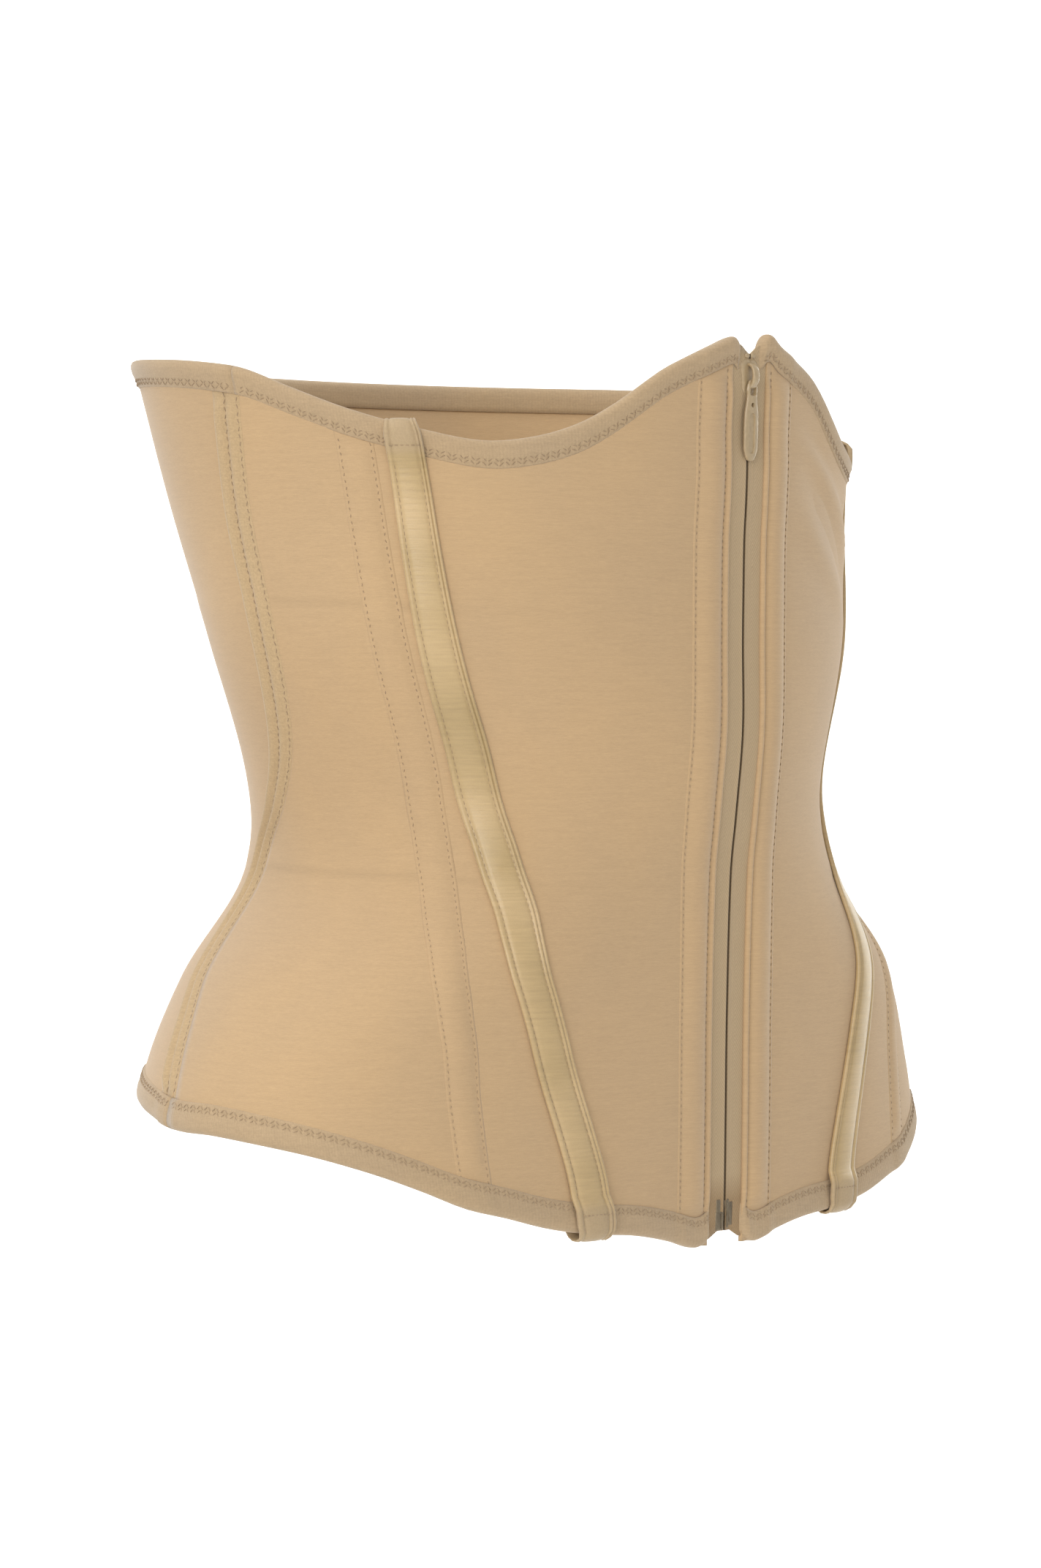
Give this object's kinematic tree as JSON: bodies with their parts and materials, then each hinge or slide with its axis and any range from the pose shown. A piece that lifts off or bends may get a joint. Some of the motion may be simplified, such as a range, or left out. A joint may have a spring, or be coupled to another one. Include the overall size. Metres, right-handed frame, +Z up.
{
  "type": "back brace",
  "caption": "Beige front-zip waist cincher back brace in shaped cloth panels with boned channels, bound edges and a separating zip.",
  "frame": {"origin": "middle of the wearer's waist: the mount torso", "axes": "+Z up the wearer's body, -Y the way the wearer faces, +X the wearer's left"},
  "size_m": [0.3422, 0.222, 0.3072],
  "materials": {
    "beige": "matte stretch cloth",
    "satin": "satin weave",
    "trim": "matte",
    "tape": "woven",
    "coil": "matte",
    "steel": "satin",
    "pull": "satin paint"
  },
  "bodies": {
    "back": {"back_bottom_binding": "trim", "back_panel": "beige", "back_top_binding": "trim", "back_waist_band": "trim", "left_centre_back_bone": "steel", "left_centre_back_casing": "beige", "left_side_back_bone": "steel", "left_side_back_casing": "beige", "right_centre_back_bone": "steel", "right_centre_back_casing": "beige", "right_side_back_bone": "steel", "right_side_back_casing": "beige"},
    "left_front": {"left_bottom_binding": "trim", "left_channel_bone": "steel", "left_channel_casing": "beige", "left_coil": "coil", "left_front_panel": "beige", "left_gore_panel": "beige", "left_placket_bone": "steel", "left_placket_casing": "beige", "left_satin_bone": "steel", "left_satin_casing": "satin", "left_side_panel": "beige", "left_top_binding": "trim", "left_top_stop": "coil", "left_waist_band": "trim", "left_zip_tape": "tape", "zip_pin": "steel"},
    "right_front": {"right_bottom_binding": "trim", "right_channel_bone": "steel", "right_channel_casing": "beige", "right_coil": "coil", "right_front_panel": "beige", "right_gore_panel": "beige", "right_placket_bone": "steel", "right_placket_casing": "beige", "right_satin_bone": "steel", "right_satin_casing": "satin", "right_side_panel": "beige", "right_top_binding": "trim", "right_top_stop": "coil", "right_waist_band": "trim", "right_zip_tape": "tape", "zip_box": "steel"},
    "slider": {"slider_body": "pull"},
    "pull": {"pull_tab": "pull"}
  },
  "joints": [
    {"name": "left_front_swing", "type": "hinge", "parent": "back", "child": "left_front", "pos_m": [0.174, -0.012, 0], "axis": [0, 0, 1], "range_deg": [0, 40]},
    {"name": "right_front_swing", "type": "hinge", "parent": "back", "child": "right_front", "pos_m": [-0.174, -0.012, 0], "axis": [0, 0, 1], "range_deg": [-40, 0]},
    {"name": "zip_slide", "type": "slide", "parent": "right_front", "child": "slider", "axis": [0, 0.0366, -0.9993], "range_m": [0, 0.2705]},
    {"name": "pull_hinge", "type": "hinge", "parent": "slider", "child": "pull", "pos_m": [0, -0.09677, 0.15751], "axis": [-1, 0, 0], "range_deg": [0, 135]}
  ],
  "couplings": [
    {"joint": "right_front_swing", "follows": "left_front_swing", "ratio": -1},
    {"joint": "zip_slide", "follows": "left_front_swing", "m_per_rad": 0.38675}
  ]
}
